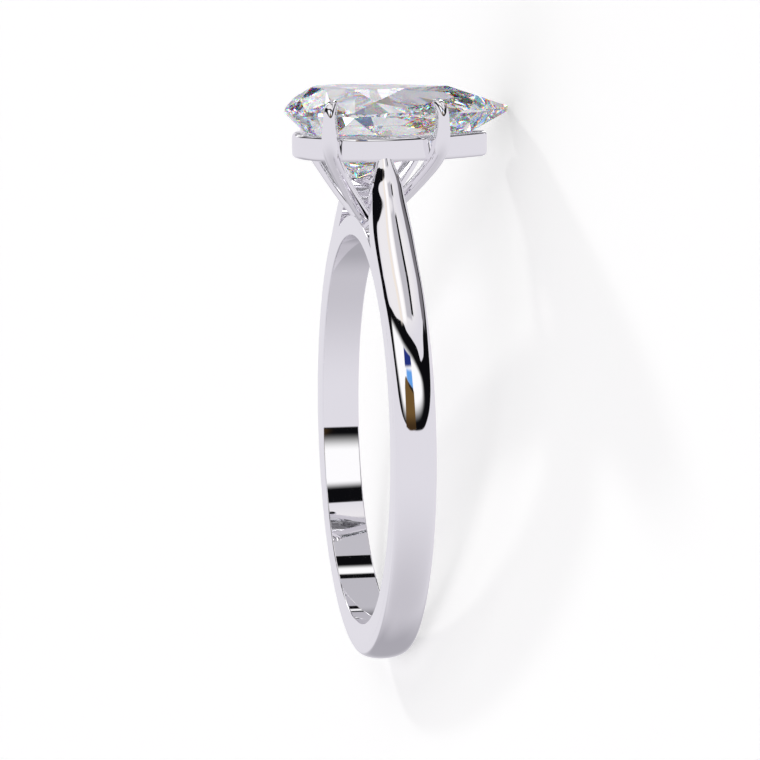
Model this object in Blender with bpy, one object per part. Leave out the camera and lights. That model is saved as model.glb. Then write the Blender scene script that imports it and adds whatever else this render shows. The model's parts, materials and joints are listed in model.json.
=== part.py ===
"""Solitaire ring with a pear-cut stone, lying on its side as it rests on a table.

The ring is drawn upright: the finger hole's axis is Y, the head points up along Z, and the stone's point
looks along +Y. An empty then lays the finished ring down on the stone's point and the band's lower edge.
All sizes are in metres.
"""

import math

import bmesh
import bpy
from mathutils import Matrix, Vector
from mathutils.geometry import interpolate_bezier

# Finger circle, which is whole all round and forms the bridge under the head
FINGER_RADIUS = 0.00825
BAND_WIDTH = 0.00167
BRIDGE_THICKNESS = 0.00084
EASED_EDGE = 0.00006

# Band and shoulders, one bar that is rounded on its outside and seated in the finger circle
BAND_THICKNESS = 0.00150
BAND_SIDE_HEIGHT = 0.00120
BAR_SIDE_STEP = 0.00001
SHOULDER_START_ANGLE = math.radians(50.0)
SHOULDER_TOP_REACH = 0.00212
SHOULDER_TOP_LEAN = math.radians(6.0)
SHOULDER_INTO_RAIL = 0.00025
SHOULDER_LOWER_PULL = 0.00300
SHOULDER_UPPER_PULL = 0.00220

# Stone
STONE_LENGTH = 0.00949
STONE_WIDTH = 0.00610
STONE_ROUND_END = -0.00373
GIRDLE_HEIGHT = 0.01354
GIRDLE_THICKNESS = 0.00022
CROWN_HEIGHT = 0.00088
PAVILION_DEPTH = 0.00275
POINT_HALF_ANGLE = math.radians(42.0)
POINT_PULL = 0.38
BELLY_PULL = 0.42

# How far in from the girdle each main crown facet meets the table, from the point to the round end
TABLE_INSETS = (0.00262, 0.00145, 0.00119, 0.00112, 0.00107)

# Gallery rail under the stone
RAIL_INSET = 0.00031
RAIL_WALL = 0.00070
RAIL_HEIGHT = 0.00105
RAIL_BELOW_GIRDLE = 0.00080
RAIL_EDGE = 0.00018
RAIL_POINT_RADIUS = 0.00080

# Claw prongs: each stands on the bridge, leans out to the rail and bends over the stone as a claw
CLAW_REACH_ROUND = -0.00223
CLAW_REACH_POINT = 0.00235
PRONG_WIDTH = 0.00062
PRONG_DEPTH = 0.00068
PRONG_FOOT_REACH = 0.00060
FOOT_REACH_ROUND = -0.00022
FOOT_REACH_POINT = -0.00018
PRONG_FOOT_LEAN = math.radians(50.0)
PRONG_FOOT_PULL = 0.00090
PRONG_HIP_PULL = 0.00110
PRONG_HIP_LEAN = math.radians(31.0)
PRONG_HIP_ABOVE_RAIL_BOTTOM = 0.00040
PRONG_INTO_BRIDGE = 0.00030
PRONG_INTO_RAIL = 0.00010
PRONG_OUTSIDE_GIRDLE = 0.00018
CLAW_OVERLAP = 0.00036
CLAW_RISE = 0.00045
CLAW_BEND = 0.00035

# Gap between the stone and the metal that holds it
SEAT_GAP = 0.00005

# Along the shoulder: share of the way up, of the bar's width, of the bar's thickness
SHOULDER_SHARES = (
    (0.00, 1.00, 1.00),
    (0.30, 0.99, 1.08),
    (0.50, 0.91, 1.16),
    (0.65, 0.83, 1.12),
    (0.78, 0.76, 1.02),
    (0.88, 0.60, 0.90),
    (0.94, 0.44, 0.76),
    (0.97, 0.39, 0.62),
    (1.00, 0.38, 0.44),
)

# Along a prong, from its foot to the claw's tip: share of the way, of the prong's width, of its depth
PRONG_SHARES = (
    (0.00, 0.88, 0.68),
    (0.40, 0.88, 0.68),
    (0.64, 1.02, 0.96),
    (0.74, 1.00, 1.00),
    (0.85, 0.82, 0.90),
    (0.93, 0.74, 0.70),
    (0.98, 0.56, 0.48),
    (1.00, 0.26, 0.22),
)

# Main facets meet the girdle at these shares of the way from the stone's point to its round end
MAIN_SHARES = (0.0, 0.42, 0.66, 0.84, 1.0)
CROWN_MEET_SHARES = (0.60, 0.46, 0.46, 0.46)
PAVILION_MEET_SHARE = 0.72

# Fineness of the meshes
BAND_STATIONS = 29
SHOULDER_STATIONS = 18
DOME_STEPS = 10
CIRCLE_STEPS = 80
FLANK_STEPS = 14
ROUND_STEPS = 10
PRONG_SIDES = 12
PRONG_STATIONS = 18
PRONG_SQUARENESS = 0.75
RAIL_EDGE_STEPS = 2
RAIL_POINT_STEPS = 4

# Places that follow from the sizes
ROUND_CENTRE = STONE_ROUND_END + STONE_WIDTH / 2
STONE_POINT = STONE_ROUND_END + STONE_LENGTH
GIRDLE_TOP = GIRDLE_HEIGHT + GIRDLE_THICKNESS / 2
GIRDLE_BOTTOM = GIRDLE_HEIGHT - GIRDLE_THICKNESS / 2
RAIL_TOP = GIRDLE_BOTTOM - RAIL_BELOW_GIRDLE
RAIL_BOTTOM = RAIL_TOP - RAIL_HEIGHT
BRIDGE_RADIUS = FINGER_RADIUS + BRIDGE_THICKNESS
BAR_RADIUS = FINGER_RADIUS + BRIDGE_THICKNESS / 2
BAR_THICKNESS = BAND_THICKNESS - BRIDGE_THICKNESS / 2
BAR_WIDTH = BAND_WIDTH - 2 * BAR_SIDE_STEP
BAR_SIDE_SHARE = (BAND_SIDE_HEIGHT - BRIDGE_THICKNESS / 2) / BAR_THICKNESS

WELD = 0.0000005


def clear_scene():
    """Removes whatever the scene holds."""
    for item in list(bpy.data.objects):
        bpy.data.objects.remove(item, do_unlink=True)


def make_material(name, colour, metallic, roughness, transmission, ior):
    """A Principled material with one plain finish."""
    material = bpy.data.materials.new(name)
    material.use_nodes = True
    shader = material.node_tree.nodes["Principled BSDF"]
    shader.inputs["Base Color"].default_value = (*colour, 1.0)
    shader.inputs["Metallic"].default_value = metallic
    shader.inputs["Roughness"].default_value = roughness
    shader.inputs["Transmission Weight"].default_value = transmission
    shader.inputs["IOR"].default_value = ior
    material.diffuse_color = (*colour, 1.0)
    return material


def make_object(name, solid, parent, material):
    """Turns a bmesh into an object that hangs on the resting empty."""
    bmesh.ops.recalc_face_normals(solid, faces=solid.faces)
    mesh = bpy.data.meshes.new(name)
    solid.to_mesh(mesh)
    solid.free()
    mesh.materials.append(material)
    item = bpy.data.objects.new(name, mesh)
    item.parent = parent
    bpy.context.scene.collection.objects.link(item)
    return item


# Sweeping a section along a path


def read_shares(table, way):
    """Smooth width and thickness shares at a way along a table's rows."""
    i = max(k for k in range(len(table) - 1) if table[k][0] <= way)
    before, here, there, after = (table[max(0, min(len(table) - 1, k))] for k in range(i - 1, i + 3))
    span = there[0] - here[0]
    t = (way - here[0]) / span
    shares = []
    for column in (1, 2):
        leave = (there[column] - before[column]) / (there[0] - before[0]) * span
        arrive = (after[column] - here[column]) / (after[0] - here[0]) * span
        shares.append(
            (2 * t**3 - 3 * t**2 + 1) * here[column]
            + (t**3 - 2 * t**2 + t) * leave
            + (3 * t**2 - 2 * t**3) * there[column]
            + (t**3 - t**2) * arrive
        )
    return shares


def frame_at(place, tangent, outward, width, depth):
    """Matrix that sets a flat section square to a path, its depth turned outward."""
    tangent = tangent.normalized()
    depth_axis = (outward - outward.dot(tangent) * tangent).normalized()
    width_axis = depth_axis.cross(tangent)
    columns = (width_axis * width, depth_axis * depth, tangent, place)
    matrix = Matrix([axis.to_4d() for axis in columns]).transposed()
    matrix[3] = (0.0, 0.0, 0.0, 1.0)
    return matrix


def sweep(section, frames, closed=False):
    """Extrudes a flat closed section from each frame to the next."""
    solid = bmesh.new()
    verts = [solid.verts.new(frames[0] @ Vector((u, v, 0.0))) for u, v in section]
    first = [solid.edges.new(pair) for pair in zip(verts, verts[1:] + verts[:1])]
    last = first
    for before, after in zip(frames, frames[1:]):
        grown = bmesh.ops.extrude_edge_only(solid, edges=last)["geom"]
        moved = {item for item in grown if isinstance(item, bmesh.types.BMVert)}
        edges = [item for item in grown if isinstance(item, bmesh.types.BMEdge)]
        last = [edge for edge in edges if moved.issuperset(edge.verts)]
        bmesh.ops.transform(solid, matrix=after @ before.inverted(), verts=list(moved))
    if closed:
        bmesh.ops.bridge_loops(solid, edges=first + last)
    else:
        bmesh.ops.contextual_create(solid, geom=first)
        bmesh.ops.contextual_create(solid, geom=last)
    return solid


def circle_section():
    """Section of the finger circle: a rectangle with eased corners."""
    u = 0.5 - EASED_EDGE / BAND_WIDTH
    v = EASED_EDGE / BRIDGE_THICKNESS
    return [(-u, 0), (u, 0), (0.5, v), (0.5, 1 - v), (u, 1), (-u, 1), (-0.5, 1 - v), (-0.5, v)]


def bar_section():
    """Section of the band and shoulders: straight sides under an elliptic dome."""
    points = [(-0.5, 0.0), (0.5, 0.0)]
    for step in range(DOME_STEPS + 1):
        turn = math.pi * step / DOME_STEPS
        rise = (1 - BAR_SIDE_SHARE) * math.sin(turn)
        points.append((0.5 * math.cos(turn), BAR_SIDE_SHARE + rise))
    return points


def prong_section():
    """Section of a prong: a square with rounded corners."""
    points = []
    for step in range(PRONG_SIDES):
        turn = 2 * math.pi * (step + 0.5) / PRONG_SIDES
        pair = math.cos(turn), math.sin(turn)
        points.append([0.5 * math.copysign(abs(part) ** PRONG_SQUARENESS, part) for part in pair])
    return points


# Band, shoulders and bridge


def make_finger_circle():
    """Whole circle round the finger, whose top is the bridge."""
    frames = []
    for step in range(CIRCLE_STEPS):
        turn = 2 * math.pi * (step + 0.5) / CIRCLE_STEPS
        outward = Vector((math.cos(turn), 0.0, math.sin(turn)))
        tangent = Vector((-math.sin(turn), 0.0, math.cos(turn)))
        frames.append(frame_at(FINGER_RADIUS * outward, tangent, outward, BAND_WIDTH, BRIDGE_THICKNESS))
    return sweep(circle_section(), frames, closed=True)


def bar_half_path():
    """Places on the bar's inner face from beside the band's bottom up to the head, with the way up."""
    start = SHOULDER_START_ANGLE
    bottom = -math.pi / 2
    path = []
    for step in range(BAND_STATIONS):
        turn = bottom + (start - bottom) * (step + 0.5) / (BAND_STATIONS + 0.5)
        path.append((Vector((BAR_RADIUS * math.cos(turn), 0.0, BAR_RADIUS * math.sin(turn))), 0.0))
    foot = Vector((BAR_RADIUS * math.cos(start), 0.0, BAR_RADIUS * math.sin(start)))
    foot_pull = SHOULDER_LOWER_PULL * Vector((-math.sin(start), 0.0, math.cos(start)))
    top = Vector((SHOULDER_TOP_REACH, 0.0, RAIL_BOTTOM + SHOULDER_INTO_RAIL))
    top_pull = SHOULDER_UPPER_PULL * Vector((math.sin(SHOULDER_TOP_LEAN), 0.0, -math.cos(SHOULDER_TOP_LEAN)))
    rise = interpolate_bezier(foot, foot + foot_pull, top + top_pull, top, SHOULDER_STATIONS)
    path += [(place, step / (SHOULDER_STATIONS - 1)) for step, place in enumerate(rise)]
    return path


def make_bar():
    """Band with both shoulders, swept from one shoulder's top down round the band to the other's."""
    half = bar_half_path()
    mirrored = [(Vector((-place.x, 0.0, place.z)), way) for place, way in half]
    path = list(reversed(half)) + mirrored
    places = [place for place, way in path]
    frames = []
    for i, (place, way) in enumerate(path):
        tangent = places[min(i + 1, len(path) - 1)] - places[max(i - 1, 0)]
        outward = Vector((-tangent.z, 0.0, tangent.x))
        width_share, thickness_share = read_shares(SHOULDER_SHARES, way)
        size = BAR_WIDTH * width_share, BAR_THICKNESS * thickness_share
        frames.append(frame_at(place, tangent, outward, *size))
    return sweep(bar_section(), frames)


# Outline shared by the stone, its rail and its claws


def half_outline():
    """Places and outward normals of the stone's outline at X above 0, from its point to its round end."""
    point = Vector((0.0, STONE_POINT, 0.0))
    belly = Vector((STONE_WIDTH / 2, ROUND_CENTRE, 0.0))
    flank = STONE_POINT - ROUND_CENTRE
    leave = POINT_PULL * flank * Vector((math.sin(POINT_HALF_ANGLE), -math.cos(POINT_HALF_ANGLE), 0.0))
    arrive = Vector((0.0, BELLY_PULL * flank, 0.0))
    places = interpolate_bezier(point, point + leave, belly + arrive, belly, FLANK_STEPS + 1)
    for step in range(1, ROUND_STEPS + 1):
        turn = math.pi / 2 * step / ROUND_STEPS
        radius = STONE_WIDTH / 2
        places.append(Vector((radius * math.cos(turn), ROUND_CENTRE - radius * math.sin(turn), 0.0)))
    normals = [Vector((math.cos(POINT_HALF_ANGLE), math.sin(POINT_HALF_ANGLE), 0.0))]
    for before, after in zip(places, places[2:]):
        normals.append(Vector((before.y - after.y, after.x - before.x, 0.0)).normalized())
    normals.append(Vector((0.0, -1.0, 0.0)))
    return list(zip(places, normals))


def outline_where(reached):
    """Place and normal of the half outline at the first spot where reached says yes, between its points."""
    rows = half_outline()
    travelled = 0.0
    for (place, normal), (next_place, next_normal) in zip(rows, rows[1:]):
        step = (next_place - place).length
        share = reached(place, next_place, travelled, step)
        if share is not None:
            return place.lerp(next_place, share), normal.lerp(next_normal, share).normalized()
        travelled += step
    return rows[-1]


def outline_at_share(share):
    """Place and normal at a share of the way from the stone's point to its round end."""
    rows = half_outline()
    target = share * sum((b[0] - a[0]).length for a, b in zip(rows, rows[1:]))

    def reached(place, next_place, travelled, step):
        return (target - travelled) / step if travelled + step > target else None

    return outline_where(reached)


def outline_at_reach(reach):
    """Place and normal where the outline passes a given Y."""

    def reached(place, next_place, travelled, step):
        return (place.y - reach) / (place.y - next_place.y) if next_place.y < reach else None

    return outline_where(reached)


def pear_outline(inset, point_radius=0.0):
    """Closed outline of the stone moved in by an inset, with its point rounded to a radius."""
    rows = half_outline()
    place, normal = rows[0]
    along = Vector((-normal.y, normal.x, 0.0))
    rows.insert(0, (place + STONE_WIDTH / 4 * along, normal))
    moved = [(place - (inset + point_radius) * normal, normal) for place, normal in rows]
    first = next(i for i, (place, normal) in enumerate(moved) if place.x > WELD)
    (inner, inner_normal), (outer, outer_normal) = moved[first - 1 : first + 1]
    share = inner.x / (inner.x - outer.x)
    centre = inner.lerp(outer, share)
    lean = inner_normal.lerp(outer_normal, share)
    half = [place + point_radius * normal for place, normal in moved[first:-1]]
    if point_radius > 0:
        for step in range(RAIL_POINT_STEPS, 0, -1):
            turn = math.atan2(lean.x, lean.y) * step / RAIL_POINT_STEPS
            half.insert(0, centre + point_radius * Vector((math.sin(turn), math.cos(turn), 0.0)))
    tip = Vector((0.0, centre.y + point_radius, 0.0))
    end = Vector((0.0, STONE_ROUND_END + inset, 0.0))
    return [tip] + half + [end] + [Vector((-place.x, place.y, 0.0)) for place in reversed(half)]


def outline_loop(solid, outline, height):
    """Adds an outline to a bmesh at a height and returns its edges."""
    verts = [solid.verts.new((place.x, place.y, height)) for place in outline]
    return [solid.edges.new(pair) for pair in zip(verts, verts[1:] + verts[:1])]


def lift_faces(solid, height):
    """Extrudes all faces straight up into a closed solid."""
    grown = bmesh.ops.extrude_face_region(solid, geom=list(solid.faces), use_keep_orig=True)["geom"]
    lifted = [item for item in grown if isinstance(item, bmesh.types.BMVert)]
    bmesh.ops.translate(solid, verts=lifted, vec=(0.0, 0.0, height))


def make_rail():
    """Pear-shaped hoop with rounded outer edges."""
    solid = bmesh.new()
    outer = outline_loop(solid, pear_outline(RAIL_INSET, RAIL_POINT_RADIUS), RAIL_BOTTOM)
    inner = outline_loop(solid, pear_outline(RAIL_INSET + RAIL_WALL), RAIL_BOTTOM)
    rim = {edge.verts[0].co.copy().freeze() for edge in outer}
    bmesh.ops.bridge_loops(solid, edges=outer + inner)
    lift_faces(solid, RAIL_HEIGHT)
    bmesh.ops.recalc_face_normals(solid, faces=solid.faces)
    footprint = {(round(place.x, 7), round(place.y, 7)) for place in rim}
    edges = [
        edge
        for edge in solid.edges
        if abs(edge.verts[0].co.z - edge.verts[1].co.z) < WELD
        and all((round(vert.co.x, 7), round(vert.co.y, 7)) in footprint for vert in edge.verts)
    ]
    bmesh.ops.bevel(
        solid, geom=edges, offset=RAIL_EDGE, segments=RAIL_EDGE_STEPS, profile=0.5, affect="EDGES", material=-1
    )
    return solid


# Claws


def prong_path(side, foot_reach, reach):
    """Middle of a prong from its foot inside the bridge to the claw's tip, each place with its outward direction."""
    place, normal = outline_at_reach(reach)
    place = Vector((side * place.x, place.y, 0.0))
    normal = Vector((side * normal.x, normal.y, 0.0))
    up = Vector((0.0, 0.0, 1.0))
    foot_height = math.sqrt((BRIDGE_RADIUS - PRONG_INTO_BRIDGE) ** 2 - PRONG_FOOT_REACH**2)
    foot = Vector((side * PRONG_FOOT_REACH, foot_reach, foot_height))
    rail_side = place - RAIL_INSET * normal
    hip_height = RAIL_BOTTOM + PRONG_HIP_ABOVE_RAIL_BOTTOM
    hip = rail_side + (PRONG_DEPTH / 2 - PRONG_INTO_RAIL) * normal + hip_height * up
    waist = place + PRONG_OUTSIDE_GIRDLE * normal + GIRDLE_BOTTOM * up
    tip = place - CLAW_OVERLAP * normal + (GIRDLE_TOP + CLAW_RISE) * up
    away = Vector((hip.x - foot.x, hip.y - foot.y, 0.0)).normalized()
    leave = PRONG_FOOT_PULL * (math.sin(PRONG_FOOT_LEAN) * away + math.cos(PRONG_FOOT_LEAN) * up)
    climb = math.sin(PRONG_HIP_LEAN) * normal + math.cos(PRONG_HIP_LEAN) * up
    curve = interpolate_bezier(foot, foot + leave, hip - PRONG_HIP_PULL * climb, hip, PRONG_STATIONS)
    middle = (waist - hip).length / 3
    curve += interpolate_bezier(hip, hip + middle * climb, waist - middle * up, waist, PRONG_STATIONS // 2)[1:]
    fold = (tip - waist - CLAW_BEND * up).normalized()
    curve += interpolate_bezier(waist, waist + CLAW_BEND * up, tip - CLAW_BEND * fold, tip, PRONG_STATIONS // 2)[1:]
    across = Vector((side, 0.0, 0.0))
    turned = PRONG_STATIONS - 1
    return [(spot, across.lerp(normal, min(i / turned, 1.0))) for i, spot in enumerate(curve)]


def make_prong(side, foot_reach, reach):
    """One prong with its claw, swept from its foot to its tip."""
    path = prong_path(side, foot_reach, reach)
    gone = [0.0]
    for (before, _), (after, _) in zip(path, path[1:]):
        gone.append(gone[-1] + (after - before).length)
    frames = []
    for i, (place, outward) in enumerate(path):
        tangent = path[min(i + 1, len(path) - 1)][0] - path[max(i - 1, 0)][0]
        width_share, depth_share = read_shares(PRONG_SHARES, gone[i] / gone[-1])
        frames.append(frame_at(place, tangent, outward, PRONG_WIDTH * width_share, PRONG_DEPTH * depth_share))
    return sweep(prong_section(), frames)


# Stone


def meet(first, second, first_reach, second_reach):
    """Where two lines square to flat normals meet, each line at its reach along its normal."""
    det = first.x * second.y - first.y * second.x
    x = (first_reach * second.y - first.y * second_reach) / det
    y = (first.x * second_reach - first_reach * second.x) / det
    return Vector((x, y, 0.0))


def facet_planes():
    """Three places on each facet of the stone at X of 0 or more."""
    up = Vector((0.0, 0.0, 1.0))
    mains = [outline_at_share(share) for share in MAIN_SHARES]
    mains[0] = (mains[0][0], Vector((0.0, 1.0, 0.0)))
    culet = Vector((0.0, ROUND_CENTRE, 0.0))
    top = GIRDLE_TOP * up
    bottom = GIRDLE_BOTTOM * up
    table = [place - inset * normal + top + CROWN_HEIGHT * up for (place, normal), inset in zip(mains, TABLE_INSETS)]
    deep = culet + bottom - PAVILION_DEPTH * up
    planes = [(table[0], table[1], table[2])]
    for (place, normal), corner in zip(mains, table):
        trace = normal.cross(up)
        planes.append((place + top, place + top + trace * STONE_WIDTH, corner))
        planes.append((place + bottom, place + bottom + trace * STONE_WIDTH, deep))
    for i, share in enumerate(CROWN_MEET_SHARES):
        (a, a_normal), (b, b_normal) = mains[i], mains[i + 1]
        between = outline_at_share((MAIN_SHARES[i] + MAIN_SHARES[i + 1]) / 2)[0]
        a_reach = a.dot(a_normal) - share * TABLE_INSETS[i]
        b_reach = b.dot(b_normal) - share * TABLE_INSETS[i + 1]
        crown_meet = meet(a_normal, b_normal, a_reach, b_reach) + top + share * CROWN_HEIGHT * up
        planes.append((table[i], table[i + 1], crown_meet))
        planes.append((crown_meet, a + top, between + top))
        planes.append((crown_meet, b + top, between + top))
        low = PAVILION_MEET_SHARE
        spread = meet(a_normal, b_normal, low * (a - culet).dot(a_normal), low * (b - culet).dot(b_normal))
        pavilion_meet = culet + spread + bottom - (1 - low) * PAVILION_DEPTH * up
        planes.append((pavilion_meet, a + bottom, between + bottom))
        planes.append((pavilion_meet, b + bottom, between + bottom))
    return planes


def cut_stone(gap=0.0):
    """Pear-cut stone, cut facet by facet from a block; a gap grows it evenly into its own seat."""
    solid = bmesh.new()
    bmesh.ops.contextual_create(solid, geom=outline_loop(solid, pear_outline(-gap), GIRDLE_BOTTOM - STONE_WIDTH))
    lift_faces(solid, 2 * STONE_WIDTH)
    heart = Vector((0.0, ROUND_CENTRE, GIRDLE_HEIGHT))
    for a, b, c in facet_planes():
        normal = (b - a).cross(c - a).normalized()
        if normal.dot(a - heart) < 0:
            normal.negate()
        for side in (1, -1) if abs(normal.x) > WELD else (1,):
            facing = Vector((side * normal.x, normal.y, normal.z))
            place = Vector((side * a.x, a.y, a.z)) + gap * facing
            everything = list(solid.verts) + list(solid.edges) + list(solid.faces)
            cut = bmesh.ops.bisect_plane(
                solid, geom=everything, dist=WELD / 10, plane_co=place, plane_no=facing, clear_outer=True
            )["geom_cut"]
            rim = [item for item in cut if isinstance(item, bmesh.types.BMEdge)]
            if len(rim) > 2:
                bmesh.ops.contextual_create(solid, geom=rim)
    bmesh.ops.remove_doubles(solid, verts=solid.verts, dist=WELD)
    bmesh.ops.dissolve_degenerate(solid, dist=WELD, edges=solid.edges)
    return solid


# Assembly


def join_metal(setting, others, seat):
    """Solders the other pieces to the setting and cuts the stone's seat, with live Boolean modifiers."""
    for item, operation in [(other, "UNION") for other in others] + [(seat, "DIFFERENCE")]:
        modifier = setting.modifiers.new(item.name, "BOOLEAN")
        modifier.object = item
        modifier.operation = operation
        modifier.solver = "EXACT"
        item.hide_render = True
        item.display_type = "WIRE"


def corners_of(item):
    """Evaluated corners of an object in the world."""
    graph = bpy.context.evaluated_depsgraph_get()
    shaped = item.evaluated_get(graph)
    return [shaped.matrix_world @ vert.co for vert in shaped.data.vertices]


def lay_down(rest, setting, stone):
    """Turns and moves the empty so that the ring lies on the stone's point and the band's lower edge."""
    bpy.context.view_layer.update()
    band = [corner for corner in corners_of(setting) if corner.z < -FINGER_RADIUS and corner.y > 0]
    head = [corner for corner in corners_of(stone) if corner.y > STONE_WIDTH / 2]
    tilt = max(min(math.atan2(h.y - b.y, h.z - b.z) for b in band) for h in head)
    rest.rotation_euler = (tilt - math.pi / 2, 0.0, 0.0)
    bpy.context.view_layer.update()
    corners = corners_of(setting) + corners_of(stone)
    low = [min(corner[axis] for corner in corners) for axis in range(3)]
    high = [max(corner[axis] for corner in corners) for axis in range(3)]
    rest.location = (-(low[0] + high[0]) / 2, -(low[1] + high[1]) / 2, -low[2])


def main():
    """Builds the ring's two solids and lays them down."""
    clear_scene()
    rest = bpy.data.objects.new("ring_at_rest", None)
    bpy.context.scene.collection.objects.link(rest)
    metal = make_material("white_gold", (0.80, 0.79, 0.81), 1.0, 0.05, 0.0, 1.5)
    clear = make_material("clear_stone", (0.98, 0.98, 1.00), 0.0, 0.0, 1.0, 2.417)
    setting = make_object("ring_setting", make_bar(), rest, metal)
    others = [
        make_object("finger_circle", make_finger_circle(), rest, metal),
        make_object("gallery_rail", make_rail(), rest, metal),
    ]
    ends = {"round": (FOOT_REACH_ROUND, CLAW_REACH_ROUND), "point": (FOOT_REACH_POINT, CLAW_REACH_POINT)}
    for end, reaches in ends.items():
        others.append(make_object(f"prong_near_{end}", make_prong(1, *reaches), rest, metal))
        others.append(make_object(f"prong_far_{end}", make_prong(-1, *reaches), rest, metal))
    seat = make_object("stone_seat", cut_stone(SEAT_GAP), rest, metal)
    stone = make_object("pear_stone", cut_stone(), rest, clear)
    join_metal(setting, others, seat)
    lay_down(rest, setting, stone)


main()
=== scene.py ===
"""Dresses the pear solitaire ring: polished white gold, a clear stone, a pale floor and a soft studio.

The ring is modelled upright, with the finger hole's axis along Y and the head along Z. Its meshes are then
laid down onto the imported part, which rests on its side. All sizes are in metres.
"""

import json
import logging
import math
from dataclasses import dataclass, field
from enum import Enum
from typing import Sequence

import bmesh
import bpy
from mathutils import Matrix, Vector
from mathutils.geometry import interpolate_bezier

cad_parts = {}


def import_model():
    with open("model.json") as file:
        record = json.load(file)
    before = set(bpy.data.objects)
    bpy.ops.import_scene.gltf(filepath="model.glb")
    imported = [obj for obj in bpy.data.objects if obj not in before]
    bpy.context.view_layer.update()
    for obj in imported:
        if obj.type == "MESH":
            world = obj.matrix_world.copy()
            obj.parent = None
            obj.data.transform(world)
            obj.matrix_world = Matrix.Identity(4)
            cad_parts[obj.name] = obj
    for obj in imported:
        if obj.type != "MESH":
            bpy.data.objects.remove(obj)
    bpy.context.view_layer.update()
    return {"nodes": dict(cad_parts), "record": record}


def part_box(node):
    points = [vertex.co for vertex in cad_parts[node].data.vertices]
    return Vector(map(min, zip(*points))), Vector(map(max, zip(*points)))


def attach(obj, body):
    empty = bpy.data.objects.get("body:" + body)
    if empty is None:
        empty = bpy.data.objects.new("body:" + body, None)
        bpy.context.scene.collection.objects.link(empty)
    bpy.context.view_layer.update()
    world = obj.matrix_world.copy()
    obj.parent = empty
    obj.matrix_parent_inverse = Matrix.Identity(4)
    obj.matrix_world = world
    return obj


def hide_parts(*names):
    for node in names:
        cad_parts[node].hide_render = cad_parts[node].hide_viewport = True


log = logging.getLogger("ring")

Colour = tuple[float, float, float]
Section = list[tuple[float, float]]
Solid = bmesh.types.BMesh
Socket = bpy.types.NodeSocket
Value = Socket | float | Sequence[float]

SETTING_NODE = "ring_setting"
STONE_NODE = "pear_stone"
UP = Vector((0.0, 0.0, 1.0))
TINY = 0.0000005
MATCH_DIGITS = 7


class Side(Enum):
    """The two halves of the ring, seen from the camera."""

    NEAR = 1
    FAR = -1


class End(Enum):
    """The two ends of the stone."""

    ROUND = "round"
    POINT = "point"


class Slot(Enum):
    """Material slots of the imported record."""

    METAL = "white_gold"
    STONE = "clear_stone"


# Tapers, sweeps and objects


@dataclass(frozen=True)
class Taper:
    """Width and thickness along a swept piece, as shares of its named sizes.

    Each row holds the share of the way along, of the width and of the thickness.
    """

    rows: tuple[tuple[float, float, float], ...]
    reach: float = 0.05
    taps: int = 9

    def at(self, way: float) -> tuple[float, float]:
        """Reads the taper at one way, evened out over a short reach so that its curvature runs on.

        Args:
            way: share of the way along the piece.

        Returns:
            The shares of the width and of the thickness.
        """
        reach = min(self.reach, way - self.rows[0][0], self.rows[-1][0] - way)
        ways = [way + reach * (2 * tap / (self.taps - 1) - 1) for tap in range(self.taps)]
        pairs = [self.between_rows(spot) for spot in ways]
        return sum(pair[0] for pair in pairs) / self.taps, sum(pair[1] for pair in pairs) / self.taps

    def between_rows(self, way: float) -> tuple[float, float]:
        """Reads the cubic through the rows at one way.

        Args:
            way: share of the way along the piece.

        Returns:
            The shares of the width and of the thickness.
        """
        rows = self.rows
        i = max(k for k in range(len(rows) - 1) if rows[k][0] <= max(way, 0.0))
        before, here, there, after = (rows[max(0, min(len(rows) - 1, k))] for k in range(i - 1, i + 3))
        span = there[0] - here[0]
        t = (way - here[0]) / span
        shares = []
        for column in (1, 2):
            leave = (there[column] - before[column]) / (there[0] - before[0]) * span
            arrive = (after[column] - here[column]) / (after[0] - here[0]) * span
            shares.append(
                (2 * t**3 - 3 * t**2 + 1) * here[column]
                + (t**3 - 2 * t**2 + t) * leave
                + (3 * t**2 - 2 * t**3) * there[column]
                + (t**3 - t**2) * arrive
            )
        return shares[0], shares[1]


def frame_at(place: Vector, tangent: Vector, outward: Vector, width: float, depth: float) -> Matrix:
    """Sets a flat section square to a path, with its depth turned outward.

    Args:
        place: where the section's origin goes.
        tangent: direction of the path.
        outward: direction that the section's depth leans to.
        width: length of the section's first axis.
        depth: length of its second axis.

    Returns:
        The matrix that takes the section there.
    """
    tangent = tangent.normalized()
    depth_axis = (outward - outward.dot(tangent) * tangent).normalized()
    width_axis = depth_axis.cross(tangent)
    columns = (width_axis * width, depth_axis * depth, tangent, place)
    matrix = Matrix([axis.to_4d() for axis in columns]).transposed()
    matrix[3] = (0.0, 0.0, 0.0, 1.0)
    return matrix


def draw_loop(solid: Solid, places: Sequence[Vector]) -> list[bmesh.types.BMEdge]:
    """Draws a closed line through places.

    Args:
        solid: the bmesh to draw in.
        places: the places, in order.

    Returns:
        The line's edges.
    """
    verts = [solid.verts.new(place) for place in places]
    return [solid.edges.new(pair) for pair in zip(verts, verts[1:] + verts[:1])]


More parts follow.
